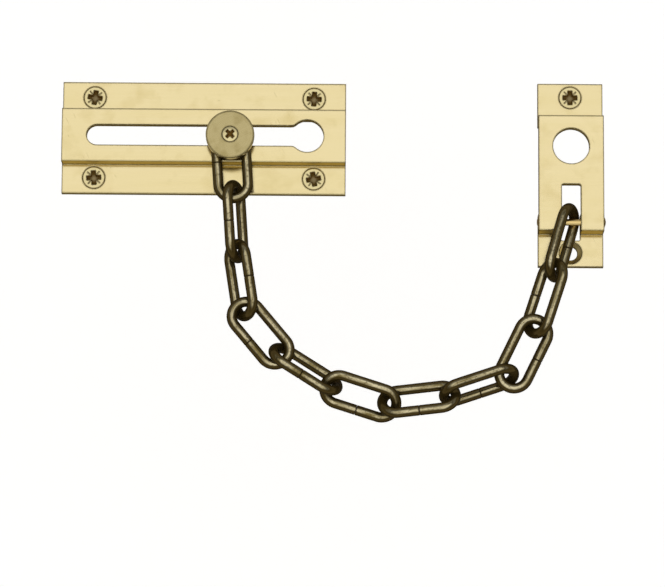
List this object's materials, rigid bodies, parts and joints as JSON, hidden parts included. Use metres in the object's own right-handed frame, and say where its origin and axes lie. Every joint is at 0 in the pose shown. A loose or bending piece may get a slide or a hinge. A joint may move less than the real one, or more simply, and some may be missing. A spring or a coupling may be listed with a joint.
{
  "type": "door chain",
  "caption": "Door chain: a slotted slide plate with a captive stud, oval wire links and a fixing plate with a cross pin.",
  "frame": {"origin": "middle of the slide plate's back, on the plane of the door", "axes": "+X along the slot towards its keyhole, +Y across the plate, +Z out of the door"},
  "size_m": [0.1951, 0.1242, 0.037],
  "materials": {
    "polished_brass": "polished",
    "screw_brass": "bright",
    "turned_brass": "turned, satin",
    "bronzed_brass": "bronzed, glossy"
  },
  "bodies": {
    "slide_plate": {"slide_plate": "polished_brass", "slide_plate_screws": "screw_brass"},
    "stud": {"stud": "turned_brass", "stud_disc": "turned_brass", "stud_screw": "screw_brass"},
    "link_01": {"link_01": "bronzed_brass"},
    "link_02": {"link_02": "bronzed_brass"},
    "link_03": {"link_03": "bronzed_brass"},
    "link_04": {"link_04": "bronzed_brass"},
    "link_05": {"link_05": "bronzed_brass"},
    "link_06": {"link_06": "bronzed_brass"},
    "link_07": {"link_07": "bronzed_brass"},
    "link_08": {"link_08": "bronzed_brass"},
    "link_09": {"link_09": "bronzed_brass"},
    "link_10": {"link_10": "bronzed_brass"},
    "link_11": {"link_11": "bronzed_brass"},
    "fixing_plate": {"fixing_plate": "polished_brass", "link_pin": "polished_brass", "fixing_plate_screw": "screw_brass"}
  },
  "joints": [
    {"name": "stud_slide", "type": "slide", "parent": "slide_plate", "child": "stud", "axis": [1, 0, 0], "range_m": [-0.047, 0.0275]},
    {"name": "link_01_swing", "type": "hinge", "parent": "stud", "child": "link_01", "pos_m": [0.0096, -0.0012, 0.0097], "axis": [0, 0, 1], "range_deg": [-20, 17]},
    {"name": "link_02_swing", "type": "hinge", "parent": "link_01", "child": "link_02", "pos_m": [0.01099, -0.0211, 0.0097], "axis": [0, 0, -1], "range_deg": [-11, 20]},
    {"name": "link_03_swing", "type": "hinge", "parent": "link_02", "child": "link_03", "pos_m": [0.01225, -0.04228, 0.00691], "axis": [0, 0, 1], "range_deg": [-19, 20]},
    {"name": "link_04_swing", "type": "hinge", "parent": "link_03", "child": "link_04", "pos_m": [0.01433, -0.06378, 0.00732], "axis": [0, 0, -1], "range_deg": [-15, 10]},
    {"name": "link_05_swing", "type": "hinge", "parent": "link_04", "child": "link_05", "pos_m": [0.02782, -0.07987, 0.00732], "axis": [0, 0, 1], "range_deg": [-8, 15]},
    {"name": "link_06_swing", "type": "hinge", "parent": "link_05", "child": "link_06", "pos_m": [0.04626, -0.09105, 0.00702], "axis": [0, 0, -1], "range_deg": [-11, 20]},
    {"name": "link_07_swing", "type": "hinge", "parent": "link_06", "child": "link_07", "pos_m": [0.06686, -0.09735, 0.00551], "axis": [0, 0, 1], "range_deg": [-14, 10]},
    {"name": "link_08_swing", "type": "hinge", "parent": "link_07", "child": "link_08", "pos_m": [0.08841, -0.09411, 0.00821], "axis": [0, 0, -1], "range_deg": [-20, 20]},
    {"name": "link_09_swing", "type": "hinge", "parent": "link_08", "child": "link_09", "pos_m": [0.11003, -0.08814, 0.0068], "axis": [0, 0, 1], "range_deg": [-7, 20]},
    {"name": "link_10_swing", "type": "hinge", "parent": "link_09", "child": "link_10", "pos_m": [0.11923, -0.06928, 0.009], "axis": [0, 0, -1], "range_deg": [-6, 10]},
    {"name": "link_11_swing", "type": "hinge", "parent": "link_10", "child": "link_11", "pos_m": [0.12542, -0.0491, 0.01206], "axis": [0, 0, 1], "range_deg": [-5, 20]},
    {"name": "fixing_plate_swing", "type": "hinge", "parent": "link_11", "child": "fixing_plate", "pos_m": [0.13174, -0.03092, 0.0072], "axis": [1, 0, 0], "range_deg": [0, 12]}
  ]
}
